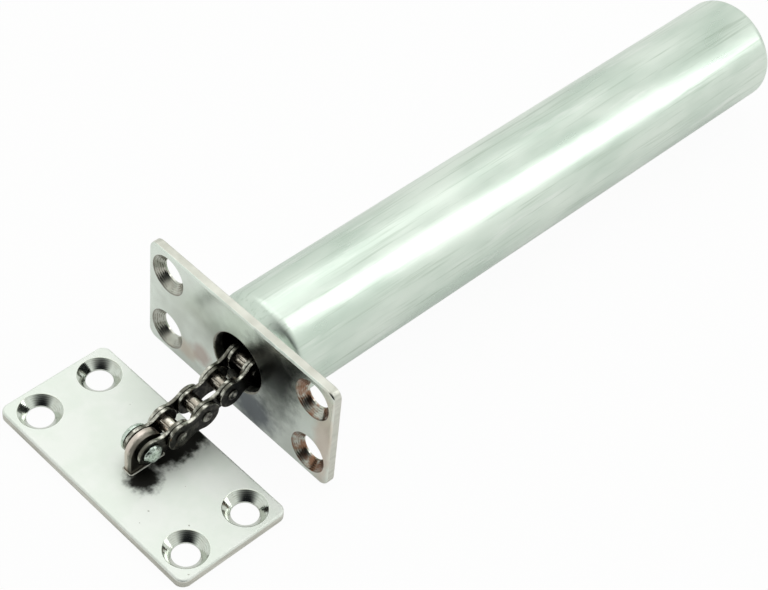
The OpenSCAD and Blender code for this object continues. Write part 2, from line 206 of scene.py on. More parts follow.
# %% Zinc-plated rivet
def rivet_zinc():
    """Zinc-plated rivet: bright, with flats left by the hammer."""
    material, tree, shader, mm = metal("zinc_plated_rivet", "#D2DED5", 0.24)
    dents = add(tree, "ShaderNodeTexVoronoi", {"Vector": mm, "Scale": 0.9})
    grit = add(tree, NOISE, {"Vector": mm, "Scale": 2.5, "Detail": 3.0, "Roughness": 0.6})
    dusty = add(tree, RANGE, {0: grit, LOW: 0.45, HIGH: 0.7}, **SMOOTH)
    tone = add(tree, MIX, {0: dusty, UNDER: linear("#D6E2D9"), OVER: linear("#8D998F")}, TONE, **COLOUR)
    finish_metal(tree, shader, tone, None, (dents, 0.12), (grit, 0.02))
    return material


RIVET_ZINC = rivet_zinc()
print("made", RIVET_ZINC.name)

# %% [markdown]
# ## Nickel
# Both plates are stamped steel with a nickel plate: the face plate is bright, and the anchor
# plate has a satin sheen. Oil from the chain has left the face plate stained round the mouth.
# Right of the mouth the face plate also has painted reflections of the chain and of the shaded
# gap below it, and beside the lug the anchor plate has a near-black painted shadow of the lug and
# the chain. A stain or painted patch is a ragged ellipsoid on the surface, which is simpler than
# an unwrapped picture and stays sharp.

# %% Stains and painted shade
def stain_and_painted_shade_patch(tree, mm, spot, radius, soft, wobble):
    """A ragged patch round a point, 1 inside and 0 outside: a stain, a painted reflection or a painted
    shadow.
    """
    moved = add(tree, VECTOR, {0: mm, 1: spot}, operation="SUBTRACT")
    scaled = add(tree, VECTOR, {0: moved, 1: tuple(1 / r for r in radius)}, **SCALED)
    away = add(tree, VECTOR, {0: scaled}, "Value", operation="LENGTH")
    ragged = add(tree, NOISE, {"Vector": mm, "Scale": 0.45, "Detail": 4.0, "Roughness": 0.62})
    uneven = add(tree, MATHS, {0: ragged, 1: wobble, 2: -wobble / 2}, operation="MULTIPLY_ADD")
    edge = add(tree, MATHS, {0: away, 1: uneven}, operation="ADD")
    return add(tree, RANGE, {0: edge, LOW: 1.0 + soft, HIGH: 1.0 - soft}, **SMOOTH)


# place, reach along each axis, colour and strength of each stain and each painted reflection
FACE_STAINS_AND_REFLECTIONS = [
    # the first three patches are painted reflections of the chain and of the shaded gap below it
    ((4.5, FACE_Y[0], -8.5), (6.0, 1, 4.5), "#3A4454", 0.8),
    ((9.5, FACE_Y[0], 6.0), (6.5, 1, 6.5), "#26282A", 0.9),
    ((10.5, FACE_Y[0], -1.0), (5.0, 1, 5.0), "#565F59", 0.6),
    # the last four are a smudge and warm tints on the plating
    ((-2.0, FACE_Y[0], 3.0), (6.5, 1, 5.0), "#6B736C", 0.35),
    ((-10.0, FACE_Y[0], -6.5), (2.6, 1, 2.4), "#B08C80", 0.55),
    ((-14.5, FACE_Y[0], -8.5), (3.0, 1, 2.0), "#C9A98F", 0.4),
    ((23.6, FACE_Y[0], 0.0), (2.2, 1, 13.0), "#E2C4B2", 0.5),
]
# the count takes in the painted reflections too
print("stains on the face plate:", len(FACE_STAINS_AND_REFLECTIONS))

# %% [markdown]
# ## Nickel plates
# The bright plate is nearly a mirror, so its waves and tints tell it from chrome. The satin one
# scatters light in every direction, and its painted shadow is darker than anything that it mirrors.
# Its edge was tumbled before plating, so it is paler and duller than both.

# %% Bright nickel
def nickel_face():
    """Bright nickel: a clear mirror with faint waves, warm tints, hairlines, stains and painted dark
    reflections.
    """
    material, tree, shader, mm = metal("bright_nickel_plate", "#DCE3DB", 0.2)
    tint = add(tree, NOISE, {"Vector": mm, "Scale": 0.09, "Detail": 3.0, "Roughness": 0.6})
    along = add(tree, VECTOR, {0: mm, 1: (0.15, 1, 1)}, **SCALED)
    hairs = add(tree, NOISE, {"Vector": along, "Scale": 3.0, "Roughness": 0.6})
    waves = add(tree, NOISE, {"Vector": mm, "Scale": 0.12, "Detail": 1.0})
    tinted = add(tree, RANGE, {0: tint, LOW: 0.35, HIGH: 0.62}, **SMOOTH)
    tone = add(tree, MIX, {0: tinted, UNDER: linear("#D3D9D1"), OVER: linear("#E8EFE8")}, TONE, **COLOUR)
    # stains, with the painted reflections of the chain and the shaded gap right of the mouth
    for spot, radius, color, amount in FACE_STAINS_AND_REFLECTIONS:
        patch = stain_and_painted_shade_patch(tree, mm, spot, radius, soft=0.55, wobble=1.0)
        patch = add(tree, MATHS, {0: patch, 1: amount}, **SCALED)
        tone = add(tree, MIX, {0: patch, UNDER: tone, OVER: linear(color)}, TONE, **COLOUR)
    shine = add(tree, RANGE, {0: tint, LOW: 0.2, HIGH: 0.8, FROM: 0.16, TO: 0.27}, **SMOOTH)
    finish_metal(tree, shader, tone, shine, (waves, 0.05), (hairs, 0.002))
    return material


FACE_NICKEL = nickel_face()
print("made", FACE_NICKEL.name)

# %% Satin nickel
SATIN_METAL = 0.6  # under 1, because the satin haze scatters some of the light


def nickel_anchor():
    """Satin nickel: a soft sheen with a fine even grain, a few pits and a painted shadow of the lug and
    chain.
    """
    material, tree, shader, mm = metal("satin_nickel_plate", "#F4F7F2", 0.5)
    shader.inputs["Metallic"].default_value = SATIN_METAL
    tint = add(tree, NOISE, {"Vector": mm, "Scale": 0.11, "Detail": 3.0, "Roughness": 0.55})
    grain = add(tree, NOISE, {"Vector": mm, "Scale": 4.0, "Roughness": 0.6})
    pits = add(tree, NOISE, {"Vector": mm, "Scale": 1.1})
    waves = add(tree, NOISE, {"Vector": mm, "Scale": 0.15, "Detail": 1.0})
    tinted = add(tree, RANGE, {0: tint, LOW: 0.35, HIGH: 0.65}, **SMOOTH)
    tone = add(tree, MIX, {0: tinted, UNDER: linear("#F0F5EE"), OVER: linear("#FAFCF8")}, TONE, **COLOUR)
    pitted = add(tree, RANGE, {0: pits, LOW: 0.74, HIGH: 0.8, TO: 0.6}, **SMOOTH)
    tone = add(tree, MIX, {0: pitted, UNDER: tone, OVER: linear("#8C8577")}, TONE, **COLOUR)
    # painted shadow: a near-black patch where the lug and the chain shade the plate
    lug_shadow = stain_and_painted_shade_patch(tree, mm, (3.0, -27.0, -11.0), (3.2, 3.2, 1.0), soft=0.4, wobble=1.3)
    chain_shadow = stain_and_painted_shade_patch(tree, mm, (0.9, -17.6, -11.0), (3.8, 7.8, 1.0), soft=0.28, wobble=1.1)
    painted_shadow = add(tree, MATHS, {0: lug_shadow, 1: chain_shadow}, operation="MAXIMUM")
    tone = add(tree, MIX, {0: painted_shadow, UNDER: tone, OVER: linear("#191814")}, TONE, **COLOUR)
    shine = add(tree, RANGE, {0: tint, LOW: 0.2, HIGH: 0.8, FROM: 0.46, TO: 0.56}, **SMOOTH)
    finish_metal(tree, shader, tone, shine, (grain, 0.004), (waves, 0.03))
    return material


ANCHOR_NICKEL = nickel_anchor()
print("made", ANCHOR_NICKEL.name)


# %% Tumbled edge
def plate_edge():
    """Tumbled plate edge: soft and pale, with the press's lines along it."""
    material, tree, shader, mm = metal("tumbled_nickel_edge", "#DAD9D1", 0.42)
    along = add(tree, VECTOR, {0: mm, 1: (0.05, 0.05, 1)}, **SCALED)
    lines = add(tree, NOISE, {"Vector": along, "Scale": 2.4, "Detail": 3.0, "Roughness": 0.6})
    grit = add(tree, NOISE, {"Vector": mm, "Scale": 2.8, "Detail": 2.0})
    lined = add(tree, RANGE, {0: lines, LOW: 0.3, HIGH: 0.7}, **SMOOTH)
    tone = add(tree, MIX, {0: lined, UNDER: linear("#C4C3BA"), OVER: linear("#E4E3DB")}, TONE, **COLOUR)
    finish_metal(tree, shader, tone, None, (lines, 0.02), (grit, 0.02))
    return material


PLATE_EDGE = plate_edge()
print("made", PLATE_EDGE.name)

# %% [markdown]
# ## Countersinks
# A cutter leaves rings in each countersink. They follow the distance from the nearest hole's
# centre, which the mirrored plate makes easy: one quarter is worked out, and stands for all four.
# The real rings are 0.1 mm apart, and are drawn 0.3 mm apart, as coarse as they show. Damp has
# left the face plate's right-hand countersinks brown.

# %% Turned countersinks
RING_STEP = 0.3
CLEAN_X, RUSTY_X = 10.0, 18.0  # rust begins at the first place along X, and is full at the second
FACE_MID = (0.0, 0.0)
ANCHOR_MID = ((ANCHOR_X[0] + ANCHOR_X[1]) / 2, (ANCHOR_Y[0] + ANCHOR_Y[1]) / 2)


def turned(name, color, dark, roughness, depth, half, axes, middle, rusty):
    """Turned nickel, with rings left by the cutter and brown stains where it is rusty."""
    material, tree, shader, mm = metal(name, color, roughness)
    split = add(tree, "ShaderNodeSeparateXYZ", {0: mm}).node.outputs
    away = []
    for axis, reach, mid in zip(axes, half, middle):
        off = add(tree, MATHS, {0: split[axis], 1: mid}, operation="SUBTRACT")
        off = add(tree, MATHS, {0: off}, operation="ABSOLUTE")
        off = add(tree, MATHS, {0: off, 1: reach}, operation="SUBTRACT")
        away.append(add(tree, MATHS, {0: off, 1: off}, **SCALED))
    radius = add(tree, MATHS, {0: away[0], 1: away[1]}, operation="ADD")
    radius = add(tree, MATHS, {0: radius}, operation="SQRT")
    wander = add(tree, NOISE, {"Vector": mm, "Scale": 0.5})
    turn = add(tree, MATHS, {0: wander, 1: 0.5, 2: radius}, operation="MULTIPLY_ADD")
    turn = add(tree, MATHS, {0: turn, 1: math.tau / RING_STEP}, **SCALED)
    rings = add(tree, MATHS, {0: turn}, operation="SINE")
    uneven = add(tree, NOISE, {"Vector": mm, "Scale": 0.9, "Roughness": 0.6})
    seen = add(tree, RANGE, {0: uneven, LOW: 0.35, HIGH: 0.65}, **SMOOTH)
    ringed = add(tree, RANGE, {0: rings, LOW: -0.2, HIGH: 1.0}, **SMOOTH)
    ringed = add(tree, MATHS, {0: ringed, 1: seen}, **SCALED)
    tone = add(tree, MIX, {0: ringed, UNDER: linear(color), OVER: linear(dark)}, TONE, **COLOUR)
    rim = add(tree, RANGE, {0: radius, LOW: SINK_R - 0.28, HIGH: SINK_R - 0.1, TO: 0.5}, **SMOOTH)
    tone = add(tree, MIX, {0: rim, UNDER: tone, OVER: linear(dark)}, TONE, **COLOUR)
    rust = add(tree, NOISE, {"Vector": mm, "Scale": 0.5, "Detail": 3.0, "Roughness": 0.6})
    rust = add(tree, RANGE, {0: rust, LOW: 0.4, HIGH: 0.62}, **SMOOTH)
    side = add(tree, RANGE, {0: split[X], LOW: CLEAN_X, HIGH: RUSTY_X, FROM: 0.1, TO: rusty}, **SMOOTH)
    rust = add(tree, MATHS, {0: rust, 1: side}, **SCALED)
    tone = add(tree, MIX, {0: rust, UNDER: tone, OVER: linear("#86573A")}, TONE, **COLOUR)
    finish_metal(tree, shader, tone, None, (rings, depth))
    return material


print("cutter's rings are", RING_STEP, "mm apart")

# %% Countersinks of both plates
place = {"half": FACE_HOLES, "axes": (X, Z), "middle": FACE_MID}
look = {"color": "#C4C5BC", "dark": "#77756C", "roughness": 0.2, "depth": 0.006, "rusty": 0.85}
FACE_SINK = turned("turned_nickel_face", **look, **place)
place = {"half": ANCHOR_HOLES, "axes": (X, Y), "middle": ANCHOR_MID}
look = {"color": "#DDE2DB", "dark": "#C4C9C0", "roughness": 0.12, "depth": 0.0012, "rusty": 0.1}
ANCHOR_SINK = turned("turned_nickel_anchor", **look, **place)
print("made", FACE_SINK.name, "and", ANCHOR_SINK.name)

# %% [markdown]
# ## Chain and inner steel
# The chain is bare steel under an old oil film. The film is dark on the flats, and it is worn off
# the rims, which shine. The bushes stay bright, because they roll. One recipe serves them all,
# with its own tones for each piece, so the pieces look as if they had aged together.

# %% Oiled steels
def oiled(name, dark, pale, roughness, rusty):
    """Oiled steel: a dark film, thinner where it was rubbed, with a few rusty specks."""
    material, tree, shader, mm = metal(name, dark, roughness)
    film = add(tree, NOISE, {"Vector": mm, "Scale": 0.7, "Detail": 3.0, "Roughness": 0.6})
    rust = add(tree, NOISE, {"Vector": mm, "Scale": 0.55, "Detail": 3.0, "Roughness": 0.6})
    grit = add(tree, NOISE, {"Vector": mm, "Scale": 3.5, "Detail": 3.0, "Roughness": 0.6})
    rubbed = add(tree, RANGE, {0: film, LOW: 0.42, HIGH: 0.68}, **SMOOTH)
    tone = add(tree, MIX, {0: rubbed, UNDER: linear(dark), OVER: linear(pale)}, TONE, **COLOUR)
    specks = add(tree, RANGE, {0: rust, LOW: 0.66, HIGH: 0.74, TO: rusty}, **SMOOTH)
    tone = add(tree, MIX, {0: specks, UNDER: tone, OVER: linear("#7A5226")}, TONE, **COLOUR)
    shine = {0: film, LOW: 0.3, HIGH: 0.7, FROM: roughness + 0.12, TO: roughness - 0.06}
    finish_metal(tree, shader, tone, add(tree, RANGE, shine, **SMOOTH), (grit, 0.01))
    return material


LINK_FLAT = oiled("oiled_link_steel", "#1E1D1A", "#4C4A43", roughness=0.3, rusty=0.55)
LINK_RIM = oiled("rubbed_link_edge", "#6E6C63", "#D6D4CA", roughness=0.24, rusty=0.4)
PIN_STEEL = oiled("riveted_pin_steel", "#4A4843", "#B8B6AD", roughness=0.26, rusty=0.2)
BUSH_STEEL = oiled("bright_bush_steel", "#B0A79B", "#EFE8DE", roughness=0.2, rusty=0.1)
INNER_STEEL = oiled("oiled_turned_steel", "#3A3936", "#66635D", roughness=0.35, rusty=0.0)
SPRING_STEEL = oiled("oiled_spring_wire", "#2F3236", "#4A4E52", roughness=0.3, rusty=0.0)
HOLE_WALL = oiled("sheared_hole_wall", "#6A6B66", "#A3A49E", roughness=0.5, rusty=0.0)
print("oiled steels made")

# %% [markdown]
# ## Sheared steel
# A press leaves an edge in two bands: the punch burnishes the first, and the rest tears. The lug
# shows both round its arch. The bands follow X, across the strip, with a ragged line between. The
# bright band also carries a painted highlight along the arch's left border.

# %% Sheared steel
def lug_steel():
    """Sheared strip: a bright band on the left, burnished and with a painted highlight, and a darker torn
    one on the right.
    """
    material, tree, shader, mm = metal("sheared_lug_steel", "#B9ACA2", 0.3)
    along = add(tree, VECTOR, {0: mm, 1: (1.6, 0.4, 0.4)}, **SCALED)
    streaks = add(tree, NOISE, {"Vector": along, "Scale": 1.6, "Detail": 3.0, "Roughness": 0.6})
    side = add(tree, "ShaderNodeSeparateXYZ", {0: mm}, "X")
    ragged = add(tree, MATHS, {0: streaks, 1: 1.4, 2: side}, operation="MULTIPLY_ADD")
    # the bright end of this mask is the burnished band with a painted highlight on it
    torn_band_and_highlight = add(tree, RANGE, {0: ragged, LOW: 0.35, HIGH: 1.15}, **SMOOTH)
    tone = add(tree, MIX, {0: torn_band_and_highlight, UNDER: linear("#DED2C9"), OVER: linear("#77736B")}, TONE, **COLOUR)
    finish_metal(tree, shader, tone, None, (streaks, 0.03))
    return material


LUG_STEEL = lug_steel()
print("made", LUG_STEEL.name)

# %% [markdown]
# ## Ways of making
# Turned pieces are a half section spun about an axis, as on a lathe. Stampings are an outline
# that is filled, extruded by the sheet's thickness and bevelled at its rims, as a press leaves it.

# %% Objects and selections
HAIR = 1e-7  # in metres, under which two places are the same


def only(obj):
    """Leaves one object selected and active."""
    bpy.ops.object.select_all(action="DESELECT")
    obj.select_set(True)
    bpy.context.view_layer.objects.active = obj


def new_object(name, points, edges=(), faces=()):
    """A new object from points in millimetres."""
    mesh = bpy.data.meshes.new(name)
    mesh.from_pydata([Vector(p) * MM for p in points], edges, faces)
    obj = bpy.data.objects.new(name, mesh)
    bpy.context.scene.collection.objects.link(obj)
    return obj


def select(obj, test, kind="faces"):
    """In edit mode, selects the faces, edges or vertices that pass a test."""
    bpy.ops.mesh.select_mode(type={"faces": "FACE", "edges": "EDGE", "verts": "VERT"}[kind])
    bpy.ops.mesh.select_all(action="DESELECT")
    mesh = bmesh.from_edit_mesh(obj.data)
    for element in getattr(mesh, kind):
        element.select_set(bool(test(element)))
    mesh.select_flush_mode()
    bmesh.update_edit_mesh(obj.data)


print("selection helpers ready")

# %% [markdown]
# ## Turning and copying
# Spin leaves doubles where it closes, so they are merged, and the faces are turned outwards. A
# copy gets its own mesh, because its place goes into the mesh and the object stays at the origin.

# %% Finishing a mesh
def finish_mesh(obj, angle=35.0):
    """Merges doubles, turns the faces outwards and shades smooth up to an angle."""
    only(obj)
    bpy.ops.object.mode_set(mode="EDIT")
    bpy.ops.mesh.select_all(action="SELECT")
    bpy.ops.mesh.remove_doubles(threshold=HAIR)
    bpy.ops.mesh.normals_make_consistent(inside=False)
    bpy.ops.object.mode_set(mode="OBJECT")
    bpy.ops.object.shade_smooth_by_angle(angle=math.radians(angle))


print("doubles closer than", HAIR, "m are merged")


# %% Turning
def spin(name, section, axis, steps=96):
    """Turns a half section of (radius, place) points about the X or Y axis."""
    points = [(place, radius, 0) if axis == "X" else (radius, place, 0) for radius, place in section]
    closed = section[0] == section[-1]
    count = len(points) - closed
    edges = [(i, (i + 1) % count) for i in range(count if closed else count - 1)]
    obj = new_object(name, points[:count], edges)
    only(obj)
    bpy.ops.object.mode_set(mode="EDIT")
    bpy.ops.mesh.select_all(action="SELECT")
    about = (1, 0, 0) if axis == "X" else (0, 1, 0)
    bpy.ops.mesh.spin(steps=steps, angle=math.tau, center=(0, 0, 0), axis=about)
    bpy.ops.object.mode_set(mode="OBJECT")
    finish_mesh(obj)
    return obj


def arc(mid, radius, start, end, count):
    """Points on an arc, angles in degrees."""
    angles = [math.radians(start + (end - start) * i / count) for i in range(count + 1)]
    return [(mid[0] + radius * math.cos(a), mid[1] + radius * math.sin(a)) for a in angles]


print("a quarter circle in 2 steps:", [(round(x, 2), round(y, 2)) for x, y in arc((0, 0), 1, 0, 90, 2)])


# %% Copying and dressing
def copy_to(obj, name, matrix):
    """A copy with its own mesh, moved by a matrix in millimetres."""
    twin = obj.copy()
    twin.data = obj.data.copy()
    twin.name = twin.data.name = name
    bpy.context.scene.collection.objects.link(twin)
    moved = matrix.copy()
    moved.translation *= MM
    twin.data.transform(moved)
    return twin


def dress(obj, body, slot_name, *replaced):
    """Gives a finished piece its body and hides the nodes that it stands for. Its slot name is not used.
    """
    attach(obj, body)
    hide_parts(*replaced)


print("copying and dressing ready")

# %% [markdown]
# ## Tube
# The tube is deep-drawn and closed at its rear end. It is turned here from one half section that
# goes up the sloping shoulder, back over the rear edge, and in again along the bore.

# %% Tube
NECK_R, NECK_LEN, WALL = 9.6, 1.2, 1.1
SHOULDER_TILT, SHOULDER_R, FILLET_R, END_R = 30, 3.0, 1.0, 2.0
RINGS = (20.0, 60.0, 100.0)  # places of plain rings, which keep the long faces short
END_FLAT_R = 4.0
tilt = math.radians(SHOULDER_TILT)
edge_r = TUBE_R - SHOULDER_R * (1 - math.cos(tilt))
edge_y = FACE_Y[1] + NECK_LEN + (edge_r - NECK_R) / math.tan(tilt)
shoulder_y = edge_y + SHOULDER_R * math.sin(tilt)
fillet_y = FACE_Y[1] + NECK_LEN - FILLET_R * math.tan(tilt / 2)
rear = TUBE_Y[1]
outside = [(NECK_R, FACE_Y[1])]
outside += arc((NECK_R + FILLET_R, fillet_y), FILLET_R, 180, 180 - SHOULDER_TILT, 5)
outside += arc((TUBE_R - SHOULDER_R, shoulder_y), SHOULDER_R, -SHOULDER_TILT, 0, 10)
outside += [(TUBE_R, place) for place in RINGS]
outside += arc((TUBE_R - END_R, rear - END_R), END_R, 0, 90, 16)
outside += [(END_FLAT_R, rear), (0.0, rear)]
inside = [(0.0, rear - WALL), (TUBE_R - WALL, rear - WALL), (TUBE_R - WALL, shoulder_y)]
inside += [(NECK_R - WALL, shoulder_y), (NECK_R - WALL, FACE_Y[1])]
tube = spin("drawn_tube", outside + inside + [outside[0]], "Y", 128)
tube.data.materials.append(ZINC)
dress(tube, "housing", "tube", "tube")
print("tube:", len(tube.data.polygons), "faces")

# %% [markdown]
# ## Plates
# Both plates are stamped blanks with round corners. Their visible edge is well rounded from
# barrelling, and their seating edge is nearly sharp. The holes are cut by turned cutters, whose
# shape leaves the countersink with a slightly broken rim.

# %% Cutters
SINK_BREAK = 0.1  # the countersink's rim is broken by this
PAST = 1.0  # how far a cutter reaches past the plate


def cutter(section, spot):
    """A turned cutter along Z at a spot of the plate."""
    tool = spin("cutter", section, "Y", 72)
    turn = Matrix.Rotation(math.radians(90), 4, "X")
    tool.data.transform(Matrix.Translation(Vector(spot) * MM) @ turn)
    return tool


def cut(obj, tool):
    """Takes a tool's shape out of a piece and deletes the tool."""
    only(obj)
    modifier = obj.modifiers.new("cut", "BOOLEAN")
    modifier.operation = "DIFFERENCE"
    modifier.solver = "EXACT"
    modifier.object = tool
    bpy.ops.object.modifier_apply(modifier=modifier.name)
    bpy.data.objects.remove(tool, do_unlink=True)


print("cutters reach", PAST, "mm past the plate")


# %% Countersunk holes
def sink_section(thick):
    """Half section of a countersink cutter whose rim is broken."""
    land = thick - (SINK_R - SCREW_R)
    cone = [(0, -PAST), (SCREW_R, -PAST), (SCREW_R, land), (SINK_R - SINK_BREAK, thick - SINK_BREAK)]
    wide = SINK_R + 6 * SINK_BREAK
    lip = [(SINK_R + 0.8 * SINK_BREAK, thick), (wide, thick + 3 * SINK_BREAK)]
    return cone + lip + [(wide, thick + PAST), (0, thick + PAST)]


def sink_holes(plate, holes, thick):
    """Cuts a plate's four countersunk holes."""
    for end in (-1, 1):
        for side in (-1, 1):
            cut(plate, cutter(sink_section(thick), (end * holes[0], side * holes[1], 0)))


print("countersink cutter:", [(round(r, 2), round(h, 2)) for r, h in sink_section(FACE_T)])

# %% [markdown]
# ## A stamped blank
# A cube is resized to the plate, its four upright edges are bevelled into corners, and then the
# rims. The cuts leave vertices close together, and plain smooth shading would show them as
# smears on a mirror. So the normals of the big flats are set by hand, and the flats stay flat.

# %% Stamped blank
def on_rim(edge, level):
    """Whether an edge is on the outline of the flat at a level."""
    flat = all(abs(v.co.z - level) < HAIR for v in edge.verts)
    return flat and len(edge.link_faces) == 2 and any(abs(f.normal.z) < 0.5 for f in edge.link_faces)


def blank(name, length, width, thick, front_r=0.5, back_r=0.2):
    """A plate on the XY plane, seating side down, with round corners and rounded edges."""
    bpy.ops.object.select_all(action="DESELECT")
    bpy.ops.mesh.primitive_cube_add(size=MM)
    obj = bpy.context.active_object
    obj.name = obj.data.name = name
    bpy.ops.object.mode_set(mode="EDIT")
    bpy.ops.transform.resize(value=(length, width, thick))
    bpy.ops.transform.translate(value=(0, 0, thick / 2 * MM))
    select(obj, lambda e: abs(e.verts[0].co.z - e.verts[1].co.z) > MM, "edges")
    bpy.ops.mesh.bevel(offset=CORNER_R * MM, segments=12, affect="EDGES")
    for height, radius, count in ((thick, front_r, 5), (0.0, back_r, 3)):
        select(obj, lambda e: on_rim(e, height * MM), "edges")
        bpy.ops.mesh.bevel(offset=radius * MM, segments=count, affect="EDGES")
    bpy.ops.object.mode_set(mode="OBJECT")
    return obj


print("blanks get corners of", CORNER_R, "mm")

# %% Flats that stay flat
FLAT_LIMIT = 0.99999  # a face whose normal is as near as this to an axis is a flat
MERGE = 0.004  # crumbs that a cut leaves are smaller than this


def weigh_normals(obj, angle=40.0):
    """Smooth shading that keeps every big flat truly flat beside its rounded edges."""
    only(obj)
    bpy.ops.object.mode_set(mode="EDIT")
    bpy.ops.mesh.select_all(action="SELECT")
    bpy.ops.mesh.remove_doubles(threshold=MERGE * MM)
    bpy.ops.mesh.dissolve_degenerate(threshold=MERGE / 2 * MM)
    bpy.ops.object.mode_set(mode="OBJECT")
    limit = math.radians(angle)
    bpy.ops.object.shade_smooth_by_angle(angle=limit)
    mesh = obj.data
    flats = {}
    for face in mesh.polygons:
        if max(abs(c) for c in face.normal) > FLAT_LIMIT:
            for vertex in face.vertices:
                flats.setdefault(vertex, []).append(face.normal.copy())
    normals = [corner.vector.copy() for corner in mesh.corner_normals]
    for face in mesh.polygons:
        for loop, vertex in zip(face.loop_indices, face.vertices):
            for flat in flats.get(vertex, ()):
                if flat.angle(face.normal) < limit:
                    normals[loop] = flat
    mesh.normals_split_custom_set(normals)


print("crumbs under", MERGE, "mm are merged")

# %% [markdown]
# ## Finishes on parts of a plate
# One plate has several finishes: its flats, its tumbled edge and its turned countersinks. Each
# face takes its own by its place and the way that it looks, so that nothing needs unwrapping.

# %% Finishes on a plate
def paint_edge(obj, half_length, half_width):
    """Gives the plate's outer edge its own finish."""
    obj.data.materials.append(PLATE_EDGE)
    for face in obj.data.polygons:
        spot = face.center / MM
        outside = abs(spot.x) > half_length - CORNER_R or abs(spot.y) > half_width - CORNER_R
        if outside and abs(face.normal.z) < 0.3:
            face.material_index = len(obj.data.materials) - 1


SINK_SLACK = 0.02


def paint_sinks(obj, holes, thick, sink):
    """Gives the faces inside the countersinks their own finish."""
    obj.data.materials.append(sink)
    for face in obj.data.polygons:
        spot = face.center / MM
        off = math.hypot(abs(spot.x) - holes[0], abs(spot.y) - holes[1])
        if off < SINK_R + SINK_SLACK and SINK_SLACK < spot.z < thick - HAIR / MM:
            face.material_index = len(obj.data.materials) - 1


print("finishes by place ready")

# %% [markdown]
# ## Face plate
# The face plate has four countersinks and the mouth, where the chain comes out. The mouth's rim
# has a small round, and its wall is sheared and dull. The plate is made flat, as the other one
# is, so that both can use the same helpers, and then it is stood up.

# %% Face plate
face_len, face_h = FACE_X[1] - FACE_X[0], FACE_Z[1] - FACE_Z[0]
face = blank("nickel_face_plate", face_len, face_h, FACE_T)
sink_holes(face, FACE_HOLES, FACE_T)
MOUTH_BEVEL = 0.4
mouth = [(0, -PAST), (MOUTH_R, -PAST), (MOUTH_R, FACE_T - MOUTH_BEVEL)]
mouth += [(MOUTH_R + 0.3 * MOUTH_BEVEL, FACE_T - MOUTH_BEVEL / 2), (MOUTH_R + MOUTH_BEVEL, FACE_T)]
mouth += [(MOUTH_R + PAST, FACE_T + 0.3), (MOUTH_R + PAST, 2 * FACE_T), (0, 2 * FACE_T)]
cut(face, cutter(mouth, (0, 0, 0)))
print("mouth radius:", MOUTH_R, "with a rim of", MOUTH_BEVEL)

# %% Finishes of the face plate
SINK_SLOT, WALL_SLOT = 1, 2  # places of two finishes in the plate's list
face.data.materials.append(FACE_NICKEL)
paint_sinks(face, FACE_HOLES, FACE_T, FACE_SINK)
face.data.materials.append(HOLE_WALL)
for polygon in face.data.polygons:
    spot = polygon.center / MM
    flatness = abs(polygon.normal.z)
    if math.hypot(spot.x, spot.y) < MOUTH_R + MOUTH_BEVEL and flatness < 0.95:
        polygon.material_index = WALL_SLOT if flatness < 0.3 else SINK_SLOT
paint_edge(face, face_len / 2, face_h / 2)
weigh_normals(face)
upright = Matrix.Translation((0, FACE_Y[1] * MM, 0)) @ Matrix.Rotation(math.radians(90), 4, "X")
face.data.transform(upright)
dress(face, "housing", "face_plate", "face_plate")
print("face plate:", len(face.data.polygons), "faces")

# %% [markdown]
# ## Anchor plate
# The anchor plate is like the face plate, with a slot instead of the mouth. Staking the lug
# pushed up a burr round the slot. It is a thin ring, stretched from a torus to the slot's outline
# by moving each of its four corners outwards.

# %% Anchor plate
anchor_len, anchor_w = ANCHOR_X[1] - ANCHOR_X[0], ANCHOR_Y[1] - ANCHOR_Y[0]
anchor_t = ANCHOR_Z[1] - ANCHOR_Z[0]
anchor = blank("nickel_anchor_plate", anchor_len, anchor_w, anchor_t)
sink_holes(anchor, ANCHOR_HOLES, anchor_t)
LUG_X, LUG_Y, LUG_Z = (span("anchor_lug", a) for a in (X, Y, Z))
bpy.ops.object.select_all(action="DESELECT")
bpy.ops.mesh.primitive_cube_add(size=MM)
slot_tool = bpy.context.active_object
SLOT_GAP = 0.12
slot_size = (LUG_X[1] - LUG_X[0] + 2 * SLOT_GAP, LUG_Y[1] - LUG_Y[0] + 2 * SLOT_GAP, 4 * anchor_t)
slot_spot = Vector((-ANCHOR_MID[0], 0, 0))
slot_tool.data.transform(Matrix.Translation(slot_spot * MM) @ Matrix.Diagonal((*slot_size, 1)))
cut(anchor, slot_tool)
print("slot in mm:", [round(side, 2) for side in slot_size[:2]])

# %% Burr round the slot
BURR_R, BURR_WIRE = 0.35, 0.2
bpy.ops.object.select_all(action="DESELECT")
bpy.ops.mesh.primitive_torus_add(
    major_segments=48, minor_segments=10, major_radius=BURR_R * MM, minor_radius=BURR_WIRE * MM
)
burr = bpy.context.active_object
for vertex in burr.data.vertices:
    for axis in (X, Y):
        if abs(vertex.co[axis]) > HAIR:
            half = slot_size[axis] / 2 - BURR_R + BURR_WIRE / 2
            vertex.co[axis] += math.copysign(half, vertex.co[axis]) * MM
burr_spot = slot_spot + Vector((0, 0, anchor_t - BURR_WIRE / 3))
burr.data.transform(Matrix.Translation(burr_spot * MM))
burr.data.materials.append(PLATE_EDGE)
only(burr)
bpy.ops.object.shade_smooth()
print("burr:", len(burr.data.polygons), "faces")

# %% Finishes of the anchor plate, and its burr joined on
anchor.data.materials.append(ANCHOR_NICKEL)
paint_sinks(anchor, ANCHOR_HOLES, anchor_t, ANCHOR_SINK)
paint_edge(anchor, anchor_len / 2, anchor_w / 2)
weigh_normals(anchor)
only(burr)
anchor.select_set(True)
bpy.context.view_layer.objects.active = anchor
bpy.ops.object.join()
anchor.data.transform(Matrix.Translation(Vector((*ANCHOR_MID, ANCHOR_Z[0])) * MM))
dress(anchor, "anchor", "anchor_plate", "anchor_plate")
print("anchor plate:", len(anchor.data.polygons), "faces")

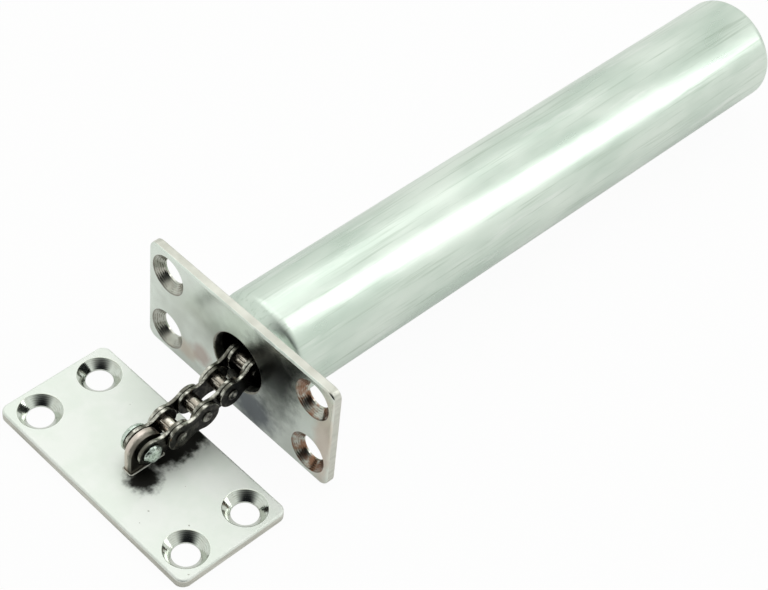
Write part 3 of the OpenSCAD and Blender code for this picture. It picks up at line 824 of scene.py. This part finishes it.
# %% [markdown]
# ## Chain
# The chain is a bush chain: waisted plates in pairs, bushes in the inner pairs and riveted pins in
# the outer ones. One of each piece is modelled at the origin and copied to every joint.

# %% Strips with rounded rims
RIM = 0.12  # the press leaves the plates' and the lug's rims as round as this


def on_flat_rim(edge):
    """Whether an edge runs round a flat that faces along X."""
    level = abs(edge.verts[0].co.x - edge.verts[1].co.x) < HAIR / 10
    return level and any(abs(f.normal.x) < 0.5 for f in edge.link_faces)


def stamp(name, outline, start, thick):
    """A stamping with rounded rims, from its outline of (y, z) points, thick along X."""
    points = [(start, y, z) for y, z in outline]
    obj = new_object(name, points, faces=[list(range(len(points)))])
    only(obj)
    bpy.ops.object.mode_set(mode="EDIT")
    bpy.ops.mesh.select_all(action="SELECT")
    bpy.ops.mesh.extrude_region_move(TRANSFORM_OT_translate={"value": (thick * MM, 0, 0)})
    bpy.ops.mesh.select_all(action="SELECT")
    bpy.ops.mesh.normals_make_consistent(inside=False)
    select(obj, on_flat_rim, "edges")
    bpy.ops.mesh.bevel(offset=RIM * MM, segments=3, affect="EDGES")
    bpy.ops.object.mode_set(mode="OBJECT")
    return obj


print("stampings get rims of", RIM, "mm")


# %% Link plate
def link_blank(name, thick, materials):
    """A waisted plate with its joints at the origin and at -PITCH along Y, from x = 0 to thick."""
    hollow = ((PITCH / 2) ** 2 + WAIST**2 - LINK_R**2) / (2 * (LINK_R - WAIST))
    away = hollow + WAIST
    angle = math.degrees(math.atan2(away, PITCH / 2))
    outline = arc((0, 0), LINK_R, -180 + angle, 180 - angle, 28)
    outline += arc((-PITCH / 2, away), hollow, -angle, -180 + angle, 14)[1:]
    outline += arc((-PITCH, 0), LINK_R, angle, 360 - angle, 28)[1:]
    outline += arc((-PITCH / 2, -away), hollow, 180 - angle, angle, 14)[1:-1]
    obj = stamp(name, outline, 0, thick)
    for material in materials:
        obj.data.materials.append(material)
    for polygon in obj.data.polygons:
        polygon.material_index = 0 if abs(polygon.normal.x) > 0.999 else 1
    weigh_normals(obj)
    return obj


LINK_X = span("inner_plate_right_1", X)
link_model = link_blank("link_model", LINK_X[1] - LINK_X[0], (LINK_FLAT, LINK_RIM))
print("link model:", len(link_model.data.polygons), "faces")

# %% [markdown]
# ## Laying out the chain
# Each plate is a copy of the one model, turned from joint to joint as the frame has them. An array
# modifier would be quicker, but the chain sags, so every link lies at its own angle.

# %% Chain plates
def lie(number):
    """Turn and place of a numbered link, from its two joints."""
    along = JOINT[number] - JOINT[number - 1]
    return Matrix.Translation(JOINT[number]) @ Matrix.Rotation(math.atan2(along.z, along.y), 4, "X")


links = []
for number in range(1, 10):
    kind = "inner" if number % 2 else "outer"
    for side in ("left", "right"):
        node = f"{kind}_plate_{side}_{number}"
        low = span(node, X)[0]
        piece = copy_to(link_model, f"stamped_{node}", Matrix.Translation((low, 0, 0)) @ lie(number))
        dress(piece, f"link_{number}", "chain_plates", node)
        links.append(piece)
bpy.data.objects.remove(link_model, do_unlink=True)
print("link plates:", len(links))

# %% [markdown]
# ## Bushes and pins
# A bush is a strip rolled into a tube, so it has a seam. It is pressed in by an inset on the faces
# of one step. A pin's end is dished by the riveting punch, which its half section draws.

# %% Bushes
BUSH_BORE_R, BUSH_HALF, BUSH_BEVEL = PIN_R + 0.03, 2.33, 0.08
SEAM_PLACE, SEAM_HALF, SEAM_TURN = 53, 3.8, 72  # degrees round the bush
bush_half = [(BUSH_BORE_R, BUSH_HALF), (BUSH_R - BUSH_BEVEL, BUSH_HALF), (BUSH_R, BUSH_HALF - BUSH_BEVEL)]
bush_section = [(r, -x) for r, x in bush_half] + bush_half[::-1]
bush_model = spin("bush_model", bush_section + bush_section[:1], "X", 48)
only(bush_model)
bpy.ops.object.mode_set(mode="EDIT")


def near_seam(part):
    """Whether a face is outside, in the one step of the bush where its strip meets."""
    spot = part.calc_center_median()
    outer = math.hypot(spot.y, spot.z) > (BUSH_R - BUSH_BEVEL / 2) * MM
    near = abs(math.degrees(math.atan2(spot.z, spot.y)) - SEAM_PLACE) < SEAM_HALF
    return outer and near and abs(part.normal.x) < 0.5


select(bush_model, near_seam)
bpy.ops.mesh.inset(thickness=0.02 * MM, depth=-0.14 * MM)
bpy.ops.object.mode_set(mode="OBJECT")
bush_model.data.materials.append(BUSH_STEEL)
bush_model.data.transform(Matrix.Rotation(math.radians(SEAM_TURN), 4, "X"))
print("bush model:", len(bush_model.data.polygons), "faces")

# %% Pins, and both on their joints
PIN_DISH = ((0, 0.16), (0.35, 0.14), (0.62, 0.03), (0.78, 0), (0.98, 0.04), (PIN_R, 0.16))
pin_end = span("pin_1", X)[1]
pin_half = [(radius, pin_end - depth) for radius, depth in PIN_DISH] + [(PIN_R, 0)]
pin_section = pin_half + [(r, -x) for r, x in reversed(pin_half[:-1])]
pin_model = spin("pin_model", pin_section, "X", 40)
pin_model.data.materials.append(PIN_STEEL)

for number in range(1, 9):
    # a joint lies between two links: the odd one is an inner link, and the even one an outer link
    odd, even = (number, number + 1) if number % 2 else (number + 1, number)
    bush = copy_to(bush_model, f"rolled_bush_{number}", Matrix.Translation(JOINT[number]))
    dress(bush, f"link_{odd}", "chain_bushes", f"bush_{number}")
    pin = copy_to(pin_model, f"riveted_pin_{number}", Matrix.Translation(JOINT[number]))
    dress(pin, f"link_{even}", "chain_pins", f"pin_{number}")
bpy.data.objects.remove(bush_model, do_unlink=True)
bpy.data.objects.remove(pin_model, do_unlink=True)
print("bushes and pins: 8 of each")

# %% [markdown]
# ## Lug and rivet
# The lug is a strip with a round top, sheared on its edges and staked into the slot. The rivet
# has a wide head on the left and a small one on the right, with the hammer's flats in its finish.

# %% Lug
lug_r = (LUG_Y[1] - LUG_Y[0]) / 2
lug_y = (LUG_Y[0] + LUG_Y[1]) / 2
top_z = LUG_Z[1] - lug_r
outline = [(lug_y - lug_r, LUG_Z[0]), (lug_y + lug_r, LUG_Z[0])]
outline += arc((lug_y, top_z), lug_r, 0, 180, 40)
lug = stamp("lug_strip", outline, LUG_X[0], LUG_X[1] - LUG_X[0])
lug.data.materials.append(LUG_STEEL)
weigh_normals(lug)
dress(lug, "anchor", "anchor_lug", "anchor_lug")
print("lug:", len(lug.data.polygons), "faces")

# %% [markdown]
# ## Rivet
# The rivet is turned from one half section, like the pins. Its heads are the same rounded shape,
# as high and as wide as each head is. A sphere would be too full at the rim for a hammered head.

# %% Rivet
RIVET_X, RIVET_Z = span("anchor_rivet", X), span("anchor_rivet", Z)
SHANK_R, HAMMERED_R = 1.5, 2.1
HEAD_IN = 2.44  # distance from the middle to the underside of each head
HEAD_SHAPE = ((0, 0), (0.34, 0.02), (0.6, 0.1), (0.8, 0.28))  # shares of its radius and height
HEAD_SHAPE += ((0.94, 0.54), (1, 0.74), (0.99, 0.95), (0.93, 1))
set_r = (RIVET_Z[1] - RIVET_Z[0]) / 2


def head(radius, tip, base):
    """Half section of a rivet head, from its tip on the axis out to its base."""
    return [(radius * out, tip + (base - tip) * down) for out, down in HEAD_SHAPE]


section = head(HAMMERED_R, RIVET_X[1], HEAD_IN) + [(SHANK_R, HEAD_IN), (SHANK_R, -HEAD_IN)]
section += head(set_r, RIVET_X[0], -HEAD_IN)[::-1]
rivet = spin("staked_rivet", section, "X", 64)
rivet.data.transform(Matrix.Translation(JOINT[0] * MM))
rivet.data.materials.append(RIVET_ZINC)
dress(rivet, "anchor", "anchor_rivet", "anchor_rivet")
print("rivet:", len(rivet.data.polygons), "faces")

# %% [markdown]
# ## Inside
# Through the mouth only the front bush's bore and the chain show. The pieces behind it keep their
# solids, with an oiled steel finish.

# %% Inner pieces
TURNED = ("front_bush", "thrust_washer", "plunger", "draw_rod")
TURNED += ("rod_washer", "draw_nut", "lock_nut", "draw_pin")
for name in TURNED:
    node = nodes[name]
    node.data.materials.clear()
    node.data.materials.append(INNER_STEEL)
print("inner pieces:", len(TURNED))

# %% [markdown]
# ## Spring
# The spring's first and last turns lie close, and the rest are open. The screw modifier keeps one
# pitch all the way, so the wire is swept here ring by ring, with the pitch of each turn.

# %% Spring
SPRING_X, SPRING_Y = span("spring", X), span("spring", Y)
TURNS, WIRE_R, END_PITCH = 20, 1.1, 2.7
PER_TURN, SIDES = 32, 12
coil_r = SPRING_X[1] - WIRE_R
first_y, last_y = SPRING_Y[0] + WIRE_R, SPRING_Y[1] - WIRE_R
open_pitch = (last_y - first_y - 2 * END_PITCH) / (TURNS - 2)


def coil_place(turn):
    """Distance along the tube after a number of turns, closed at both ends."""
    if turn <= 1:
        return first_y + turn * END_PITCH
    if turn >= TURNS - 1:
        return last_y - (TURNS - turn) * END_PITCH
    return first_y + END_PITCH + (turn - 1) * open_pitch


print("open turns are", round(open_pitch, 2), "mm apart")

# %% Wire of the spring
points, faces = [], []
for ring in range(TURNS * PER_TURN + 1):
    around = math.tau * ring / PER_TURN
    y = coil_place(ring / PER_TURN)
    for side in range(SIDES):
        about = math.tau * side / SIDES
        r = coil_r + WIRE_R * math.cos(about)
        points.append((r * math.cos(around), y + WIRE_R * math.sin(about), r * math.sin(around)))
for ring in range(TURNS * PER_TURN):
    here, ahead = ring * SIDES, (ring + 1) * SIDES
    for side in range(SIDES):
        beside = (side + 1) % SIDES
        faces.append((here + side, here + beside, ahead + beside, ahead + side))
last = TURNS * PER_TURN * SIDES
faces += [tuple(range(SIDES)), tuple(last + side for side in reversed(range(SIDES)))]
spring = new_object("wound_spring", points, faces=faces)
finish_mesh(spring, 50)
spring.data.materials.append(SPRING_STEEL)
dress(spring, "housing", "spring", "spring")
print("spring:", len(spring.data.polygons), "faces")

# %% [markdown]
# ## Table
# The object lies on a white table. The photo's ground is cut out to pure white, so the table's
# finish is nearly all glow where the camera looks straight at it, and mostly paper for the rest.

# %% Table
TABLE_SIZE, TABLE_DROP = 4000, 0.02
GLOW_TO_OTHERS, GLOW_TO_CAMERA = 0.3, 0.95
bpy.ops.object.select_all(action="DESELECT")
table_z = FLOOR_Z - TABLE_DROP
bpy.ops.mesh.primitive_plane_add(size=TABLE_SIZE * MM, location=(0, 0, table_z * MM))
floor = bpy.context.active_object
floor.name = "table_top"
paper = bpy.data.materials.new("white_table")
paper.use_nodes = True
tree = paper.node_tree
shader = tree.nodes["Principled BSDF"]
shader.inputs["Base Color"].default_value = linear("#F2F2F0")
shader.inputs["Roughness"].default_value = 0.9
glow = add(tree, "ShaderNodeEmission", {"Color": (1, 1, 1, 1), "Strength": 1.0})
watched = add(tree, "ShaderNodeLightPath", out="Is Camera Ray")
share = add(tree, RANGE, {0: watched, FROM: GLOW_TO_OTHERS, TO: GLOW_TO_CAMERA})
seen = add(tree, "ShaderNodeMixShader", {0: share, 1: shader.outputs[0], 2: glow})
tree.links.new(seen, tree.nodes["Material Output"].inputs["Surface"])
floor.data.materials.append(paper)
print("table at", round(table_z, 2), "mm")

# %% [markdown]
# ## Room
# Metal is only as good as what it mirrors. The room is white, but for the side where the camera
# stands: that side is dark, which gives the countersinks their dark segments and the face plate
# its contrast.

# %% Room
ROOM_LIGHT = 0.92
DARK_SIDE = Vector((0.62, -0.72, 0.30)).normalized()
world = bpy.data.worlds.new("studio")
bpy.context.scene.world = world
world.use_nodes = True
tree = world.node_tree
tree.nodes.clear()
direction = add(tree, "ShaderNodeTexCoord", out="Generated")
facing = add(tree, VECTOR, {0: direction, 1: tuple(DARK_SIDE)}, "Value", operation="DOT_PRODUCT")
shade = add(tree, RANGE, {0: facing, LOW: 0.45, HIGH: 0.9}, **SMOOTH)
sky = add(tree, MIX, {0: shade, UNDER: linear("#F4F8F3"), OVER: linear("#1C1E20")}, TONE, **COLOUR)
white = add(tree, "ShaderNodeBackground", {"Color": (1, 1, 1, 1), "Strength": 1.0})
room = add(tree, "ShaderNodeBackground", {"Color": sky, "Strength": ROOM_LIGHT})
watched = add(tree, "ShaderNodeLightPath", out="Is Camera Ray")
both = add(tree, "ShaderNodeMixShader", {0: watched, 1: room, 2: white})
tree.links.new(both, tree.nodes.new("ShaderNodeOutputWorld").inputs["Surface"])
print("dark side of the room towards", [round(c, 2) for c in DARK_SIDE])

# %% [markdown]
# ## Lamps
# A wide box above lights the plates. A long strip on the right, far back, is there for the tube
# alone: its mirror image is the bright band that runs along the zinc.

# %% Lamps
def softbox(name, spot, aim, size, watts):
    """A rectangular lamp at a spot, in millimetres, that points at another."""
    data = bpy.data.lights.new(name, "AREA")
    data.shape = "RECTANGLE"
    data.size, data.size_y = size[0] * MM, size[1] * MM
    data.energy = watts
    lamp = bpy.data.objects.new(name, data)
    bpy.context.scene.collection.objects.link(lamp)
    lamp.location = Vector(spot) * MM
    lamp.rotation_euler = (Vector(aim) - Vector(spot)).to_track_quat("-Z", "Y").to_euler()
    return lamp


softbox("top_box", spot=(-200, 118, 520), aim=(0, -2, 0), size=(480, 480), watts=0.42)
softbox("tube_strip", spot=(245, 343, 342), aim=(6, 58, 9), size=(120, 420), watts=0.3)

# %% [markdown]
# ## Camera
# The camera's place, turn and lens were worked out from points measured in the photo. The small
# shift is the photo's own framing.

# %% Camera
CAMERA = Vector((193.915, -186.159, 306.292))
CAMERA_TURN = (43.02158383, -4.74304934, 45.91008571)
LENS, SHIFT = 101.8116, (-0.0037313, 0.0006580)
data = bpy.data.cameras.new("photo_angle")
camera = bpy.data.objects.new("photo_angle", data)
bpy.context.scene.collection.objects.link(camera)
camera.location = CAMERA * MM
camera.rotation_euler = [math.radians(angle) for angle in CAMERA_TURN]
data.lens = LENS
data.shift_x, data.shift_y = SHIFT
data.clip_start, data.clip_end = 0.01, 10.0  # in metres
bpy.context.scene.camera = camera
bpy.context.scene.view_settings.view_transform = "Standard"
print("camera at", tuple(CAMERA), "mm, lens", LENS)
